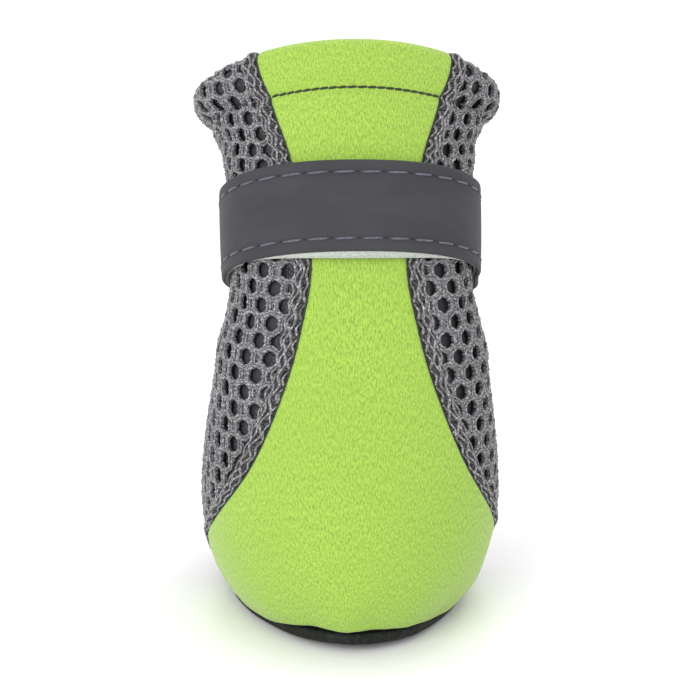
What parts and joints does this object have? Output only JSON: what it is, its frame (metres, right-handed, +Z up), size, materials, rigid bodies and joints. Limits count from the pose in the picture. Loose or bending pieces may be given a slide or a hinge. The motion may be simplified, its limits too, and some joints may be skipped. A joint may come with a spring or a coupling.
{
  "type": "dog boot",
  "caption": "Soft dog boot with mesh sides, a stretch front panel, a thin flexible sole and a hook-and-loop ankle strap, standing empty on its sole.",
  "frame": {"origin": "centre of the sole's flat resting face, on the floor", "axes": "+Z up from the floor, -Y towards the toe, +X towards the side that the strap's free end comes round"},
  "size_m": [0.0516, 0.0688, 0.0966],
  "materials": {
    "mesh": "grey knitted air mesh with a lime stretch front panel",
    "sole": "matt black, finely textured",
    "liner": "dark knitted lining",
    "strap": "slate-grey reflective-coated webbing, satin",
    "tape": "black hook tape"
  },
  "bodies": {
    "root": {"upper": "mesh", "sole": "sole", "sock_liner": "liner", "strap": "strap", "hook_tape": "tape"}
  },
  "joints": []
}
